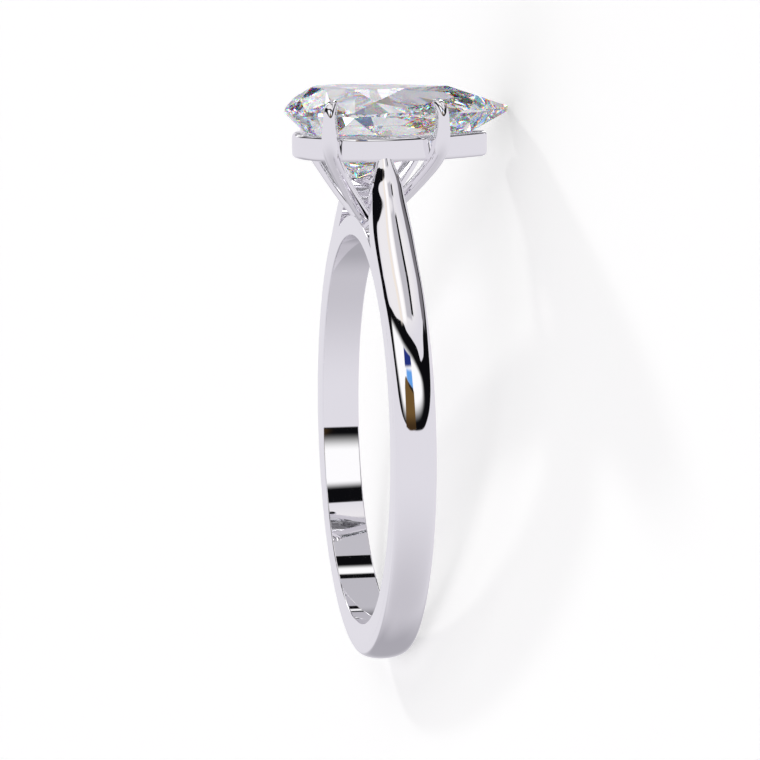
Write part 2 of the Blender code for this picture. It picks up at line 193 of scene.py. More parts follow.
def sweep(section: Section, frames: Sequence[Matrix], closed: bool = False) -> Solid:
    """Extrudes a flat closed section from each frame to the next.

    Args:
        section: places of the section's corners.
        frames: where the section goes, in order.
        closed: whether the last frame runs on into the first.

    Returns:
        The swept solid.
    """
    solid = bmesh.new()
    first = draw_loop(solid, [frames[0] @ Vector((u, v, 0.0)) for u, v in section])
    last = first
    for before, after in zip(frames, frames[1:]):
        grown = bmesh.ops.extrude_edge_only(solid, edges=last)["geom"]
        moved = {item for item in grown if isinstance(item, bmesh.types.BMVert)}
        edges = [item for item in grown if isinstance(item, bmesh.types.BMEdge)]
        last = [edge for edge in edges if moved.issuperset(edge.verts)]
        bmesh.ops.transform(solid, matrix=after @ before.inverted(), verts=list(moved))
    if closed:
        bmesh.ops.bridge_loops(solid, edges=first + last)
    else:
        bmesh.ops.contextual_create(solid, geom=first)
        bmesh.ops.contextual_create(solid, geom=last)
    return solid


def round_edges(solid: Solid, edges: list[bmesh.types.BMEdge], radius: float, segments: int) -> None:
    """Rounds edges of a solid.

    Args:
        solid: the solid.
        edges: the edges to round.
        radius: how far the rounding reaches.
        segments: flats across it.
    """
    bmesh.ops.bevel(
        solid, geom=edges, offset=radius, segments=segments, profile=0.5, affect="EDGES", material=-1
    )


def add_object(name: str, data: bpy.types.ID) -> bpy.types.Object:
    """Adds an object to the scene.

    Args:
        name: its name.
        data: its mesh, camera or light.

    Returns:
        The object.
    """
    made = bpy.data.objects.new(name, data)
    bpy.context.scene.collection.objects.link(made)
    return made


# Finishes


class Nodes:
    """A node tree, with short ways to add and join its nodes."""

    def __init__(self, tree: bpy.types.NodeTree) -> None:
        """Takes the tree and empties it."""
        self.tree = tree
        self.tree.nodes.clear()

    def feed(self, value: Value, target: Socket) -> None:
        """Links an output to an input, or sets the input to a value.

        Args:
            value: the output, or the value.
            target: the input.
        """
        if isinstance(value, Socket):
            self.tree.links.new(value, target)
        else:
            target.default_value = value

    def node(self, kind: str, **values: Value | str) -> bpy.types.Node:
        """Adds a node.

        Args:
            kind: the node's type.
            values: settings of the node, or what feeds the inputs of these names, with _ for a space.

        Returns:
            The node.
        """
        made = self.tree.nodes.new(kind)
        for name, value in values.items():
            socket = made.inputs.get(name.replace("_", " "))
            if socket is None:
                setattr(made, name, value)
            else:
                self.feed(value, socket)
        return made

    def combine(self, kind: str, *values: Value, **settings: str) -> Socket:
        """Adds a node whose inputs are fed in their order.

        Args:
            kind: the node's type.
            values: what feeds the inputs.
            settings: settings of the node.

        Returns:
            Its first output.
        """
        made = self.node(kind, **settings)
        for socket, value in zip(made.inputs, values):
            self.feed(value, socket)
        return made.outputs[0]

    def mix(self, share: Socket, under: Value, over: Value) -> Socket:
        """Adds a mix of two colours.

        Args:
            share: the second colour's share.
            under: the first colour, as an output or a value.
            over: the second colour, as an output or a value.

        Returns:
            The mixed colour.
        """
        made = self.node("ShaderNodeMix", data_type="RGBA", Factor=share)
        colours = [socket for socket in made.inputs if socket.type == "RGBA"]
        for socket, value in zip(colours, (under, over)):
            self.feed(value, socket)
        return next(socket for socket in made.outputs if socket.type == "RGBA")


class Shader(Nodes):
    """A material's node tree."""

    def __init__(self, name: str) -> None:
        """Starts an empty node material.

        Args:
            name: the material's name.
        """
        self.material = bpy.data.materials.new(name)
        self.material.use_nodes = True
        super().__init__(self.material.node_tree)

    def finish(self, surface: Socket) -> bpy.types.Material:
        """Gives the material its surface and hands it over."""
        self.node("ShaderNodeOutputMaterial", Surface=surface)
        return self.material


@dataclass(frozen=True)
class PolishedGold:
    """White gold, bright and mirror polished, with the faint haze and hairlines that polishing leaves."""

    name: str = "polished_white_gold"
    colour: Colour = (0.93, 0.92, 0.94)
    roughness: float = 0.02
    haze: float = 0.02
    haze_size: float = 0.0009
    haze_detail: float = 3.0
    haze_texture: float = 0.55
    haze_starts: float = 0.35
    haze_full: float = 0.70
    hairline_size: float = 0.00012
    hairline_stretch: float = 14.0
    hairline_depth: float = 0.00000004

    def material(self) -> bpy.types.Material:
        """Builds the finish.

        Returns:
            The node material.
        """
        shader = Shader(self.name)
        place = shader.node("ShaderNodeTexCoord").outputs["Object"]
        haze = shader.node(
            "ShaderNodeTexNoise",
            Vector=place,
            Scale=1 / self.haze_size,
            Detail=self.haze_detail,
            Roughness=self.haze_texture,
        )
        spread = shader.node(
            "ShaderNodeMapRange",
            Value=haze.outputs["Fac"],
            From_Min=self.haze_starts,
            From_Max=self.haze_full,
            To_Min=self.roughness,
            To_Max=self.roughness + self.haze,
        )
        longer = (self.hairline_stretch, 1.0, 1.0)
        stretched = shader.node("ShaderNodeMapping", Vector=place, Scale=longer)
        hairlines = shader.node(
            "ShaderNodeTexNoise",
            Vector=stretched.outputs["Vector"],
            Scale=1 / self.hairline_size / self.hairline_stretch,
        )
        bump = shader.node(
            "ShaderNodeBump", Strength=1.0, Distance=self.hairline_depth, Height=hairlines.outputs["Fac"]
        )
        metal = shader.node(
            "ShaderNodeBsdfPrincipled",
            Base_Color=(*self.colour, 1.0),
            Metallic=1.0,
            Roughness=spread.outputs["Result"],
            Normal=bump.outputs["Normal"],
        )
        shader.material.diffuse_color = (*self.colour, 1.0)
        return shader.finish(metal.outputs["BSDF"])


@dataclass(frozen=True)
class ClearStone:
    """Colourless cut stone, whose red, green and blue light bends by different amounts."""

    name: str = "clear_cut_stone"
    colour: Colour = (0.975, 0.977, 0.982)
    bending: float = 2.417
    fire: float = 0.020

    def material(self) -> bpy.types.Material:
        """Builds the finish: three tinted glasses where the camera looks in, and a plain one inside.

        Returns:
            The node material.
        """
        shader = Shader(self.name)
        tinted = []
        for channel, share in enumerate(self.colour):
            tint = [0.0, 0.0, 0.0, 1.0]
            tint[channel] = share
            bend = self.bending + (channel - 1) * self.fire
            tinted.append(shader.node("ShaderNodeBsdfGlass", Color=tint, Roughness=0.0, IOR=bend))
        red, green, blue = (glass.outputs["BSDF"] for glass in tinted)
        red_and_green = shader.combine("ShaderNodeAddShader", red, green)
        outer = shader.combine("ShaderNodeAddShader", red_and_green, blue)
        inner = shader.node(
            "ShaderNodeBsdfGlass", Color=(*self.colour, 1.0), Roughness=0.0, IOR=self.bending
        )
        seen = shader.node("ShaderNodeLightPath").outputs["Is Camera Ray"]
        return shader.finish(shader.combine("ShaderNodeMixShader", seen, inner.outputs["BSDF"], outer))


@dataclass(frozen=True)
class PaleFloor:
    """Matt white floor with a faint grain, lit evenly from within."""

    name: str = "pale_floor"
    colour: Colour = (0.90, 0.905, 0.870)
    roughness: float = 0.9
    grain: float = 0.02
    grain_size: float = 0.0004
    grain_detail: float = 2.0
    glow: float = 0.36

    def material(self) -> bpy.types.Material:
        """Builds the finish.

        Returns:
            The node material.
        """
        shader = Shader(self.name)
        place = shader.node("ShaderNodeTexCoord").outputs["Object"]
        grain = shader.node(
            "ShaderNodeTexNoise", Vector=place, Scale=1 / self.grain_size, Detail=self.grain_detail
        )
        low = [part - self.grain for part in self.colour]
        matt = shader.node(
            "ShaderNodeBsdfPrincipled",
            Base_Color=shader.mix(grain.outputs["Fac"], (*low, 1.0), (*self.colour, 1.0)),
            Roughness=self.roughness,
            Emission_Color=(1.0, 1.0, 1.0, 1.0),
            Emission_Strength=self.glow,
        )
        return shader.finish(matt.outputs["BSDF"])


# The ring's place and shared outline


@dataclass(frozen=True)
class Resting:
    """How the upright ring lies on its side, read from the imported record's mount on the band."""

    mount_name: str = "band_side"
    mount_place: Vector = field(default_factory=lambda: Vector((0.0, 0.000835, -0.00867)))

    def matrix(self, record: dict) -> Matrix:
        """Works out the turn and the place of the upright ring.

        Args:
            record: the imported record.

        Returns:
            The matrix that lays the ring down.
        """
        mount = next(row for row in record["mounts"] if row["name"] == self.mount_name)
        axis = mount["axis"]
        turn = Matrix.Rotation(math.atan2(axis[2], axis[1]), 4, "X")
        return Matrix.Translation(Vector(mount["pos_m"]) - turn @ self.mount_place) @ turn


@dataclass(frozen=True)
class PearOutline:
    """Outline of the stone's girdle, which the rail and the claws follow."""

    length: float = 0.00949
    width: float = 0.00610
    round_end: float = -0.00373
    point_half_angle: float = math.radians(42.0)
    point_pull: float = 0.38
    belly_pull: float = 0.42
    flank_steps: int = 56
    round_steps: int = 40
    point_steps: int = 8

    @property
    def round_centre(self) -> float:
        """Y of the round end's centre."""
        return self.round_end + self.width / 2

    def half(self) -> list[tuple[Vector, Vector]]:
        """Walks the half at X above 0, from the point to the round end.

        Returns:
            Places with their outward normals.
        """
        point = Vector((0.0, self.round_end + self.length, 0.0))
        belly = Vector((self.width / 2, self.round_centre, 0.0))
        flank = point.y - self.round_centre
        away = Vector((math.sin(self.point_half_angle), -math.cos(self.point_half_angle), 0.0))
        leave = point + self.point_pull * flank * away
        arrive = belly + Vector((0.0, self.belly_pull * flank, 0.0))
        places = interpolate_bezier(point, leave, arrive, belly, self.flank_steps + 1)
        for step in range(1, self.round_steps + 1):
            turn = math.pi / 2 * step / self.round_steps
            around = Vector((math.cos(turn), -math.sin(turn), 0.0))
            places.append(Vector((0.0, self.round_centre, 0.0)) + self.width / 2 * around)
        normals = [Vector((math.cos(self.point_half_angle), math.sin(self.point_half_angle), 0.0))]
        for before, after in zip(places, places[2:]):
            normals.append(Vector((before.y - after.y, after.x - before.x, 0.0)).normalized())
        normals.append(Vector((0.0, -1.0, 0.0)))
        return list(zip(places, normals))

    def at_reach(self, reach: float) -> tuple[Vector, Vector]:
        """Finds where the half passes a given Y.

        Args:
            reach: the Y to look for.

        Returns:
            The place and its outward normal.
        """
        rows = self.half()
        for (place, normal), (next_place, next_normal) in zip(rows, rows[1:]):
            if next_place.y < reach:
                share = (place.y - reach) / (place.y - next_place.y)
                return place.lerp(next_place, share), normal.lerp(next_normal, share).normalized()
        return rows[-1]

    def inset(self, inset: float, point_radius: float = 0.0) -> list[Vector]:
        """Moves the whole outline in and rounds its point.

        Args:
            inset: how far in it moves.
            point_radius: radius at the point.

        Returns:
            The closed outline's places.
        """
        rows = self.half()
        place, normal = rows[0]
        along = Vector((-normal.y, normal.x, 0.0))
        overrun = self.width / 4
        rows.insert(0, (place + overrun * along, normal))
        moved = [(place - (inset + point_radius) * normal, normal) for place, normal in rows]
        first = next(i for i, (place, _) in enumerate(moved) if place.x > TINY)
        (inner, inner_normal), (outer, outer_normal) = moved[first - 1 : first + 1]
        share = inner.x / (inner.x - outer.x)
        centre = inner.lerp(outer, share)
        lean = inner_normal.lerp(outer_normal, share)
        half = [place + point_radius * normal for place, normal in moved[first:-1]]
        if point_radius > 0:
            for step in range(self.point_steps, 0, -1):
                turn = math.atan2(lean.x, lean.y) * step / self.point_steps
                half.insert(0, centre + point_radius * Vector((math.sin(turn), math.cos(turn), 0.0)))
        tip = Vector((0.0, centre.y + point_radius, 0.0))
        end = Vector((0.0, self.round_end + inset, 0.0))
        return [tip] + half + [end] + [Vector((-place.x, place.y, 0.0)) for place in reversed(half)]


# Workbench


@dataclass
class Workbench:
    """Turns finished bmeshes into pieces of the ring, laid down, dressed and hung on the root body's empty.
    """

    rest: Matrix
    nodes: dict[str, bpy.types.Object]
    finishes: dict[Slot, bpy.types.Material]
    body: str = "root"
    crease: float = math.radians(32.0)
    seat_growth: float = 1.008

    def finish(self, name: str, solid: Solid, node: str, slot: Slot) -> bpy.types.Object:
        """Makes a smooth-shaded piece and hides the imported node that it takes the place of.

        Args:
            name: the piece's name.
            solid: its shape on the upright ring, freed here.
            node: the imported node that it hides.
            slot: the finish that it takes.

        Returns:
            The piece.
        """
        bmesh.ops.recalc_face_normals(solid, faces=solid.faces)
        bmesh.ops.transform(solid, matrix=self.rest, verts=solid.verts)
        mesh = bpy.data.meshes.new(name)
        solid.to_mesh(mesh)
        solid.free()
        mesh.materials.append(self.finishes[slot])
        self.shade(mesh)
        piece = add_object(name, mesh)
        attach(piece, self.body)
        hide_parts(node)
        return piece

    def shade(self, mesh: bpy.types.Mesh) -> None:
        """Shades a mesh smooth, but for its creases."""
        mesh.shade_smooth()
        mesh.set_sharp_from_angle(angle=self.crease)

    def cut_seat(self, pieces: Sequence[bpy.types.Object], node: str) -> None:
        """Cuts a stone's seat out of the metal that holds it, a hair wider than the stone.

        Args:
            pieces: the metal pieces to cut.
            node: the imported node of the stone.
        """
        mesh = self.nodes[node].data.copy()
        cutter = add_object("seat_cutter", mesh)
        solid = bmesh.new()
        solid.from_mesh(mesh)
        bmesh.ops.remove_doubles(solid, verts=solid.verts, dist=TINY)
        low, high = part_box(node)
        middle = Matrix.Translation((low + high) / 2)
        grow = middle @ Matrix.Scale(self.seat_growth, 4) @ middle.inverted()
        bmesh.ops.transform(solid, matrix=grow, verts=solid.verts)
        bmesh.ops.recalc_face_normals(solid, faces=solid.faces)
        solid.to_mesh(mesh)
        solid.free()
        for piece in pieces:
            cut = piece.modifiers.new("seat", "BOOLEAN")
            cut.object = cutter
            cut.operation = "DIFFERENCE"
            cut.solver = "EXACT"
            graph = bpy.context.evaluated_depsgraph_get()
            shaped = bpy.data.meshes.new_from_object(piece.evaluated_get(graph))
            piece.modifiers.clear()
            old = piece.data
            piece.data = shaped
            bpy.data.meshes.remove(old)
            shaped.name = piece.name
            self.shade(shaped)
        bpy.data.objects.remove(cutter)
        bpy.data.meshes.remove(mesh)

    def even_shading(self, pieces: Sequence[bpy.types.Object]) -> None:
        """Keeps flat faces flat beside their rounded edges, by weighting normals with the faces' areas.

        Args:
            pieces: the pieces to treat.
        """
        for piece in pieces:
            weighting = piece.modifiers.new("even_shading", "WEIGHTED_NORMAL")
            weighting.keep_sharp = True
            weighting.mode = "FACE_AREA_WITH_ANGLE"


# Metal


@dataclass
class Shank:
    """Band, cathedral shoulders and the bridge under the head."""

    finger_radius: float = 0.00825
    band_width: float = 0.00167
    bridge_thickness: float = 0.00084
    eased_edge: float = 0.00006
    band_thickness: float = 0.00150
    band_side_height: float = 0.00120
    side_step: float = 0.000001
    shoulder_start: float = math.radians(50.0)
    top_reach: float = 0.00212
    top_height: float = 0.01184
    top_lean: float = math.radians(6.0)
    lower_pull: float = 0.00300
    upper_pull: float = 0.00220
    bridge_half_turn: float = math.radians(50.0)
    band_stations: int = 120
    shoulder_stations: int = 90
    dome_steps: int = 40
    circle_steps: int = 240
    edge_steps: int = 4
    easing_end_corners: int = 5
    taper: Taper = Taper(
        (
            (0.00, 1.00, 1.00),
            (0.30, 0.99, 1.085),
            (0.50, 0.91, 1.125),
            (0.65, 0.83, 1.075),
            (0.78, 0.76, 0.93),
            (0.88, 0.60, 0.78),
            (0.94, 0.44, 0.65),
            (0.97, 0.39, 0.55),
            (1.00, 0.38, 0.44),
        )
    )

    @property
    def bar_radius(self) -> float:
        """Radius of the bar's inner face, inside the finger circle."""
        return self.finger_radius + self.bridge_thickness / 2

    @property
    def bar_thickness(self) -> float:
        """Thickness of the bar from its inner face to the dome's crown."""
        return self.band_thickness - self.bridge_thickness / 2

    def bar_section(self) -> Section:
        """Draws straight sides under an elliptic dome.

        Returns:
            The bar's section, one wide and one thick.
        """
        side = (self.band_side_height - self.bridge_thickness / 2) / self.bar_thickness
        points = [(-0.5, 0.0), (0.5, 0.0)]
        for step in range(self.dome_steps + 1):
            turn = math.pi * step / self.dome_steps
            points.append((0.5 * math.cos(turn), side + (1 - side) * math.sin(turn)))
        return points

    def bar_half_path(self) -> list[tuple[Vector, float]]:
        """Walks the bar's inner face from beside the band's bottom up to the head.

        Returns:
            Places with their way up the shoulder.
        """
        start = self.shoulder_start
        bottom = -math.pi / 2
        path = []
        for step in range(self.band_stations):
            turn = bottom + (start - bottom) * (step + 0.5) / (self.band_stations + 0.5)
            path.append((self.bar_radius * Vector((math.cos(turn), 0.0, math.sin(turn))), 0.0))
        foot = self.bar_radius * Vector((math.cos(start), 0.0, math.sin(start)))
        leave = foot + self.lower_pull * Vector((-math.sin(start), 0.0, math.cos(start)))
        top = Vector((self.top_reach, 0.0, self.top_height))
        arrive = top + self.upper_pull * Vector((math.sin(self.top_lean), 0.0, -math.cos(self.top_lean)))
        rise = interpolate_bezier(foot, leave, arrive, top, self.shoulder_stations)
        path += [(place, step / (self.shoulder_stations - 1)) for step, place in enumerate(rise)]
        return path

    def make_bar(self) -> Solid:
        """Sweeps the band with both shoulders, from one shoulder's top round the band to the other's.

        Returns:
            The bar.
        """
        half = self.bar_half_path()
        mirrored = [(Vector((-place.x, 0.0, place.z)), way) for place, way in half]
        path = list(reversed(half)) + mirrored
        places = [place for place, _ in path]
        width = self.band_width - 2 * self.side_step
        frames = []
        for i, (place, way) in enumerate(path):
            tangent = places[min(i + 1, len(path) - 1)] - places[max(i - 1, 0)]
            outward = Vector((-tangent.z, 0.0, tangent.x))
            width_share, thickness_share = self.taper.at(way)
            size = width * width_share, self.bar_thickness * thickness_share
            frames.append(frame_at(place, tangent, outward, *size))
        return sweep(self.bar_section(), frames)

    def make_finger_circle(self) -> Solid:
        """Sweeps the whole circle round the finger and eases its inner edges and the bridge's outer ones.

        Returns:
            The finger circle, whose top is the bridge.
        """
        section = [(-0.5, 0.0), (0.5, 0.0), (0.5, 1.0), (-0.5, 1.0)]
        frames = []
        for step in range(self.circle_steps):
            turn = 2 * math.pi * (step + 0.5) / self.circle_steps
            outward = Vector((math.cos(turn), 0.0, math.sin(turn)))
            tangent = Vector((-math.sin(turn), 0.0, math.cos(turn)))
            place = self.finger_radius * outward
            frames.append(frame_at(place, tangent, outward, self.band_width, self.bridge_thickness))
        solid = sweep(section, frames, closed=True)
        eased = []
        for edge in solid.edges:
            along = abs(edge.verts[0].co.y - edge.verts[1].co.y) < TINY
            radii = [math.hypot(vert.co.x, vert.co.z) for vert in edge.verts]
            level = abs(radii[0] - radii[1]) < TINY
            off_top = max(abs(math.atan2(vert.co.x, vert.co.z)) for vert in edge.verts)
            if along and level and (radii[0] < self.bar_radius or off_top < self.bridge_half_turn):
                eased.append(edge)
        round_edges(solid, eased, self.eased_edge, self.edge_steps)
        return solid

    def part_easing_ends(self, mesh: bpy.types.Mesh) -> None:
        """Marks the borders of the five-cornered faces as sharp, in which the bridge's eased edges end.

        Args:
            mesh: the finger circle's mesh.
        """
        ends = [face for face in mesh.polygons if face.loop_total == self.easing_end_corners]
        borders = {key for face in ends for key in face.edge_keys}
        for edge in mesh.edges:
            if edge.key in borders:
                edge.use_edge_sharp = True

    def build(self, bench: Workbench) -> list[bpy.types.Object]:
        """Builds the shank's pieces.

        Args:
            bench: where they are finished.

        Returns:
            The pieces.
        """
        shoulders = bench.finish("band_and_shoulders", self.make_bar(), SETTING_NODE, Slot.METAL)
        circle = bench.finish("finger_circle", self.make_finger_circle(), SETTING_NODE, Slot.METAL)
        self.part_easing_ends(circle.data)
        return [shoulders, circle]


@dataclass
class GalleryRail:
    """Pear-shaped hoop under the stone."""

    outline: PearOutline
    inset: float = 0.00031
    wall: float = 0.00070
    height: float = 0.00105
    bottom: float = 0.01158
    edge: float = 0.00018
    point_radius: float = 0.00080
    edge_steps: int = 6

    @staticmethod
    def spot(place: Vector) -> tuple[float, float]:
        """Rounds a place's X and Y, so that a corner can be matched with the outline."""
        return round(place.x, MATCH_DIGITS), round(place.y, MATCH_DIGITS)

    def make_rail(self) -> Solid:
        """Bridges two outlines, lifts the ring between them and rounds its outer edges.

        Returns:
            The rail.
        """
        solid = bmesh.new()
        outer = self.outline.inset(self.inset, self.point_radius)
        inner = self.outline.inset(self.inset + self.wall)
        rims = [draw_loop(solid, [place + self.bottom * UP for place in rim]) for rim in (outer, inner)]
        bmesh.ops.bridge_loops(solid, edges=rims[0] + rims[1])
        grown = bmesh.ops.extrude_face_region(solid, geom=list(solid.faces), use_keep_orig=True)["geom"]
        lifted = [item for item in grown if isinstance(item, bmesh.types.BMVert)]
        bmesh.ops.translate(solid, verts=lifted, vec=self.height * UP)
        bmesh.ops.recalc_face_normals(solid, faces=solid.faces)
        rim = {self.spot(place) for place in outer}
        edges = []
        for edge in solid.edges:
            level = abs(edge.verts[0].co.z - edge.verts[1].co.z) < TINY
            if level and all(self.spot(vert.co) in rim for vert in edge.verts):
                edges.append(edge)
        round_edges(solid, edges, self.edge, self.edge_steps)
        return solid

    def build(self, bench: Workbench) -> list[bpy.types.Object]:
        """Builds the rail's piece.

        Args:
            bench: where it is finished.

        Returns:
            The piece.
        """
        return [bench.finish("gallery_rail", self.make_rail(), SETTING_NODE, Slot.METAL)]


@dataclass
class ClawProngs:
    """Four prongs that stand on the bridge, lean out to the rail and bend over the stone as claws."""

    outline: PearOutline
    rail: GalleryRail
    shank: Shank
    girdle_height: float = 0.01354
    girdle_thickness: float = 0.00022
    width: float = 0.00070
    depth: float = 0.00071
    foot_side: float = 0.00060
    foot_lean: float = math.radians(50.0)
    foot_pull: float = 0.00090
    hip_pull: float = 0.00110
    hip_lean: float = math.radians(31.0)
    hip_above_rail_bottom: float = 0.00040
    into_bridge: float = 0.00030
    into_rail: float = 0.00010
    outside_girdle: float = 0.00018
    overlap: float = 0.00036
    rise: float = 0.00045
    bend: float = 0.00035
    squareness: float = 0.92
    sides: int = 40
    stations: int = 64
    foot_reach: dict[End, float] = field(
        default_factory=lambda: {End.ROUND: -0.00022, End.POINT: -0.00018}
    )
    claw_reach: dict[End, float] = field(
        default_factory=lambda: {End.ROUND: -0.00223, End.POINT: 0.00235}
    )
    taper: Taper = Taper(
        (
            (0.00, 0.88, 0.68),
            (0.40, 0.88, 0.68),
            (0.64, 1.02, 0.96),
            (0.74, 1.00, 1.00),
            (0.85, 0.82, 0.90),
            (0.93, 0.74, 0.70),
            (0.98, 0.56, 0.48),
            (1.00, 0.26, 0.22),
        ),
        reach=0.03,
    )

    def section(self) -> Section:
        """Draws a circle that swells a little towards a square.

        Returns:
            The prong's section, one wide and one deep.
        """
        points = []
        for step in range(self.sides):
            turn = 2 * math.pi * (step + 0.5) / self.sides
            pair = math.cos(turn), math.sin(turn)
            u, v = (0.5 * math.copysign(abs(part) ** self.squareness, part) for part in pair)
            points.append((u, v))
        return points

    def path(self, side: Side, end: End) -> list[tuple[Vector, Vector]]:
        """Walks the middle of a prong from its foot inside the bridge to the claw's tip.

        Args:
            side: which half of the ring the prong is on.
            end: which end of the stone it holds.

        Returns:
            Places with their outward directions.
        """
        place, normal = self.outline.at_reach(self.claw_reach[end])
        place = Vector((side.value * place.x, place.y, 0.0))
        normal = Vector((side.value * normal.x, normal.y, 0.0))
        bridge_top = self.shank.finger_radius + self.shank.bridge_thickness
        foot_height = math.sqrt((bridge_top - self.into_bridge) ** 2 - self.foot_side**2)
        foot = Vector((side.value * self.foot_side, self.foot_reach[end], foot_height))
        hip = place + (self.depth / 2 - self.into_rail - self.rail.inset) * normal
        hip += (self.rail.bottom + self.hip_above_rail_bottom) * UP
        half_girdle = self.girdle_thickness / 2
        waist = place + self.outside_girdle * normal + (self.girdle_height - half_girdle) * UP
        tip = place - self.overlap * normal + (self.girdle_height + half_girdle + self.rise) * UP
        away = Vector((hip.x - foot.x, hip.y - foot.y, 0.0)).normalized()
        leave = self.foot_pull * (math.sin(self.foot_lean) * away + math.cos(self.foot_lean) * UP)
        climb = math.sin(self.hip_lean) * normal + math.cos(self.hip_lean) * UP
        curve = interpolate_bezier(foot, foot + leave, hip - self.hip_pull * climb, hip, self.stations)
        middle = (waist - hip).length / 3
        short = self.stations // 2
        curve += interpolate_bezier(hip, hip + middle * climb, waist - middle * UP, waist, short)[1:]
        fold = (tip - waist - self.bend * UP).normalized()
        curve += interpolate_bezier(waist, waist + self.bend * UP, tip - self.bend * fold, tip, short)[1:]
        across = Vector((side.value, 0.0, 0.0))
        turned = self.stations - 1
        return [(spot, across.lerp(normal, min(i / turned, 1.0))) for i, spot in enumerate(curve)]

    def make_prong(self, side: Side, end: End) -> Solid:
        """Sweeps one prong with its claw.

        Args:
            side: which half of the ring the prong is on.
            end: which end of the stone it holds.

        Returns:
            The prong.
        """
        path = self.path(side, end)
        gone = [0.0]
        for (before, _), (after, _) in zip(path, path[1:]):
            gone.append(gone[-1] + (after - before).length)
        frames = []
        for i, (place, outward) in enumerate(path):
            tangent = path[min(i + 1, len(path) - 1)][0] - path[max(i - 1, 0)][0]
            width_share, depth_share = self.taper.at(gone[i] / gone[-1])
            size = self.width * width_share, self.depth * depth_share
            frames.append(frame_at(place, tangent, outward, *size))
        return sweep(self.section(), frames)

    def build(self, bench: Workbench) -> list[bpy.types.Object]:
        """Builds the four prongs and cuts the stone's seat out of them.

        Args:
            bench: where they are finished.

        Returns:
            The pieces.
        """
        pieces = []
        for end in End:
            for side in Side:
                name = f"claw_prong_{side.name.lower()}_{end.value}"
                pieces.append(bench.finish(name, self.make_prong(side, end), SETTING_NODE, Slot.METAL))
        bench.cut_seat(pieces, STONE_NODE)
        return pieces


# Stone


@dataclass
class PearStone:
    """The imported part's cut stone, kept as it is and given its finish."""

    node: str = STONE_NODE

    def dress(self, bench: Workbench) -> bpy.types.Object:
        """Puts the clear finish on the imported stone.

        Args:
            bench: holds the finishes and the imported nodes.

        Returns:
            The stone.
        """
        stone = bench.nodes[self.node]
        stone.data.materials.clear()
        stone.data.materials.append(bench.finishes[Slot.STONE])
        return stone


# Studio


Edge = tuple[tuple[float, float], ...]
FULL_TURN = 360.0
HALF_TURN = 180.0
QUARTER_TURN = 90.0
HUNDREDTHS = 100.0


class Layout(Enum):
    """How a panel's places are given, seen from the upright ring.

    AROUND is for walls: degrees of azimuth from +X towards +Y, then of elevation. OVERHEAD is for the
    ceiling: hundredths of the way out to the horizon along +Y, then along +X.
    """

    AROUND = "around"
    OVERHEAD = "overhead"


@dataclass(frozen=True)
class Fade:
    """Widths over which a panel's four sides fade, in its layout's own units."""

    left: float = 1.0
    right: float = 1.0
    lower: float = 1.0
    upper: float = 1.0


@dataclass(frozen=True)
class Panel:
    """A light or dark panel of the studio that polished metal and the stone mirror.

    Its lower and upper edges are pairs of places in its layout. Both edges start and end at the same first
    place.
    """

    name: str
    lower: Edge
    upper: Edge
    light: Colour
    fade: Fade = Fade()
    layout: Layout = Layout.AROUND

    @classmethod
    def level(
        cls,
        name: str,
        across: tuple[float, float],
        along: tuple[float, float],
        light: Colour,
        fade: Fade = Fade(),
        layout: Layout = Layout.AROUND,
    ) -> "Panel":
        """Makes a panel with level edges.

        Args:
            name: its name.
            across: first places of its left and right sides.
            along: second places of its lower and upper edges.
            light: its colour.
            fade: widths over which its sides fade.
            layout: how its places are given.

        Returns:
            The panel.
        """
        lower, upper = (tuple((side, height) for side in across) for height in along)
        return cls(name, lower, upper, light, fade, layout)


@dataclass(frozen=True)
class StoneLight:
    """How the stone sees the panels: as greys, raised to a power, times a gain, up to a peak."""

    contrast: float = 6.0
    gain: float = 3.8
    peak: float = 2.8


